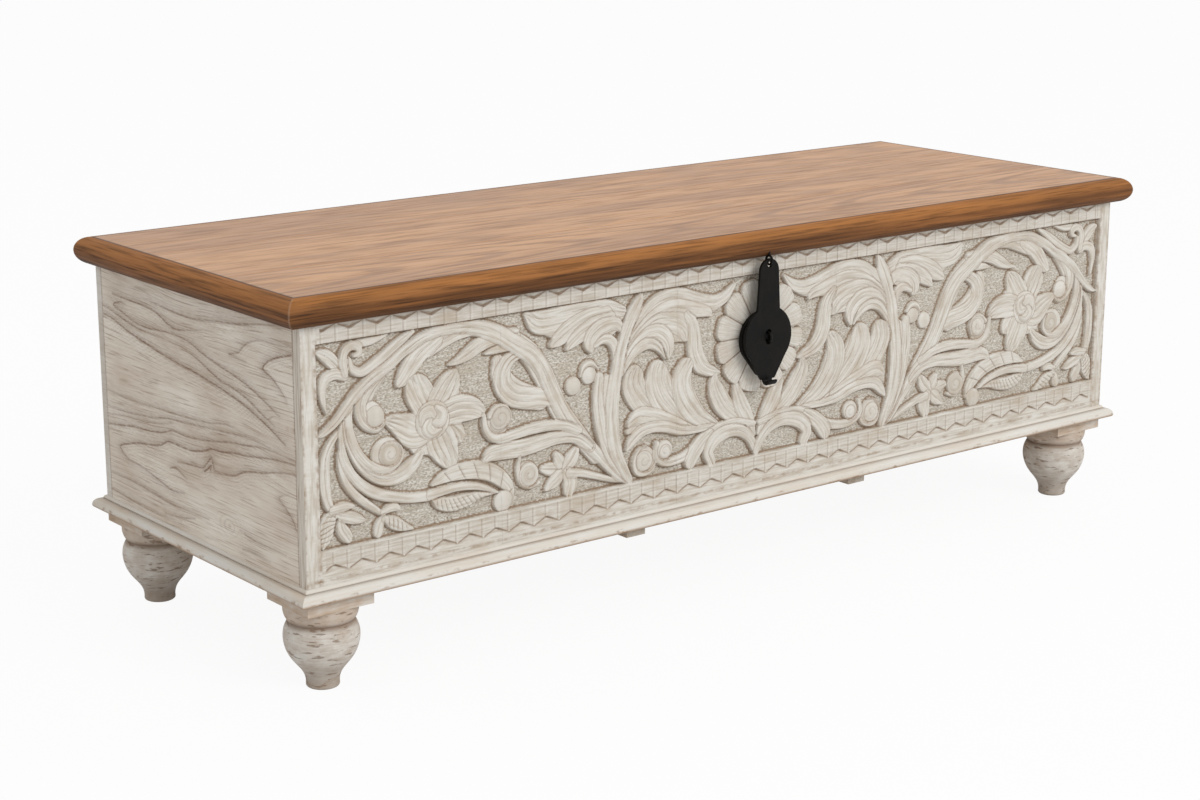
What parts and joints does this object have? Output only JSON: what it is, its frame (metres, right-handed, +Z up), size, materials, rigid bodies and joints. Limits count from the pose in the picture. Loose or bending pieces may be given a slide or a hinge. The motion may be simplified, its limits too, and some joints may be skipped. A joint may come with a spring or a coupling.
{
  "type": "trunk",
  "caption": "Long low carved wooden trunk on turned feet, with a hinged plank lid and an iron hasp that hangs from the lid over a staple on the front.",
  "frame": {"origin": "on the floor, under the middle of the whole object's box", "axes": "+X to the right along the length, +Y to the back, +Z up; the carved front faces -Y"},
  "size_m": [1.14, 0.4246, 0.3825],
  "materials": {
    "whitewashed_wood": "rubbed whitewash over brown wood, matt",
    "brown_wood": "waxed, satin",
    "raw_wood": "bare sawn wood",
    "black_iron": "blackened, satin",
    "steel": "dull steel"
  },
  "bodies": {
    "case": {"front_panel": "whitewashed_wood", "back_panel": "whitewashed_wood", "side_panel_left": "whitewashed_wood", "side_panel_right": "whitewashed_wood", "floor_panel": "raw_wood", "corner_dowels": "raw_wood", "base_moulding_front": "whitewashed_wood", "base_moulding_right": "whitewashed_wood", "base_moulding_back": "whitewashed_wood", "base_moulding_left": "whitewashed_wood", "base_moulding_pins": "steel", "corner_block_front_left": "whitewashed_wood", "corner_block_front_right": "whitewashed_wood", "corner_block_back_left": "whitewashed_wood", "corner_block_back_right": "whitewashed_wood", "block_screws": "steel", "foot_front_left": "whitewashed_wood", "foot_front_right": "whitewashed_wood", "foot_back_left": "whitewashed_wood", "foot_back_right": "whitewashed_wood", "floor_batten_left": "whitewashed_wood", "floor_batten_right": "whitewashed_wood", "floor_batten_screws": "steel", "hinge_lower_leaf_left": "black_iron", "hinge_lower_leaf_middle": "black_iron", "hinge_lower_leaf_right": "black_iron", "hinge_pin_left": "black_iron", "hinge_pin_middle": "black_iron", "hinge_pin_right": "black_iron", "hinge_screws_case": "steel", "lock_plate": "black_iron", "lock_staple": "black_iron"},
    "lid": {"lid_plank_front": "brown_wood", "lid_plank_middle": "brown_wood", "lid_plank_back": "brown_wood", "lid_nosing_front": "brown_wood", "lid_nosing_right": "brown_wood", "lid_nosing_back": "brown_wood", "lid_nosing_left": "brown_wood", "lid_batten_left": "raw_wood", "lid_batten_right": "raw_wood", "lid_batten_screws": "steel", "hinge_upper_leaf_left": "black_iron", "hinge_upper_leaf_middle": "black_iron", "hinge_upper_leaf_right": "black_iron", "hinge_screws_lid": "steel", "hasp_eye": "black_iron"},
    "hasp": {"hasp_strap": "black_iron"}
  },
  "joints": [
    {"name": "lid_hinge", "type": "hinge", "parent": "case", "child": "lid", "pos_m": [0, 0.20495, 0.3545], "axis": [-1, 0, 0], "range_deg": [0, 100]},
    {"name": "hasp_swing", "type": "hinge", "parent": "lid", "child": "hasp", "pos_m": [0, -0.20265, 0.3525], "axis": [-1, 0, 0], "range_deg": [0, 140]}
  ]
}
